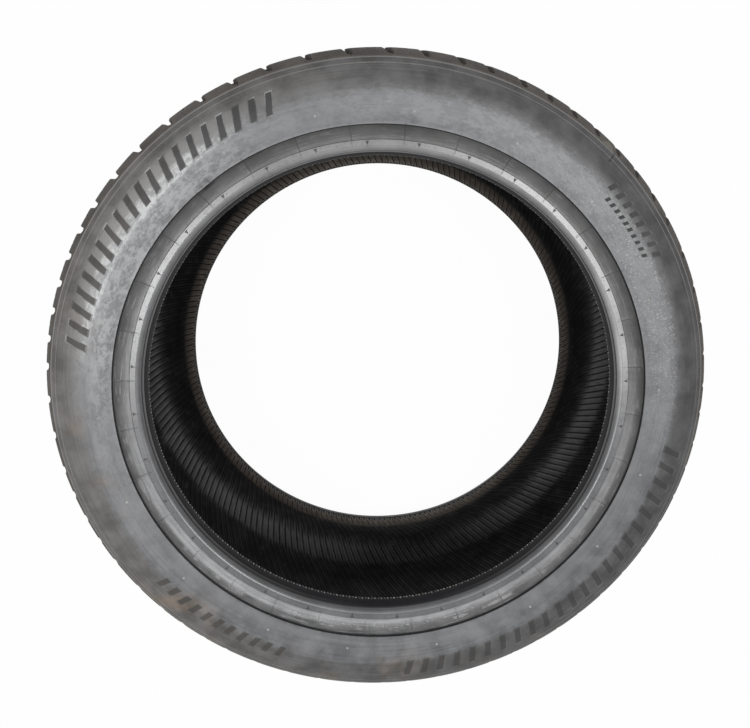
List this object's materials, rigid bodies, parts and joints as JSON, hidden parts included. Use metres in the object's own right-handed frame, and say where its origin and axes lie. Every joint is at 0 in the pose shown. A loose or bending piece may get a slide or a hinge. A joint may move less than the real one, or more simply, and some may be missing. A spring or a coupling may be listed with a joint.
{
  "type": "car tyre",
  "caption": "Low-profile radial car tyre with a grooved road tread, notched shoulders, rim protectors and two beads, lying on its sidewall.",
  "frame": {"origin": "centre of the tyre, on its axis, half way between the two sidewalls", "axes": "+Z along the tyre's axis, out of the sidewall that the picture shows; +Y towards the top of the picture; +X to its right"},
  "size_m": [0.728, 0.7278, 0.276],
  "materials": {
    "tyre": "matt black rubber, scuffed and dusty on the sidewall and shoulders"
  },
  "bodies": {
    "root": {"tyre": "tyre"}
  },
  "joints": []
}
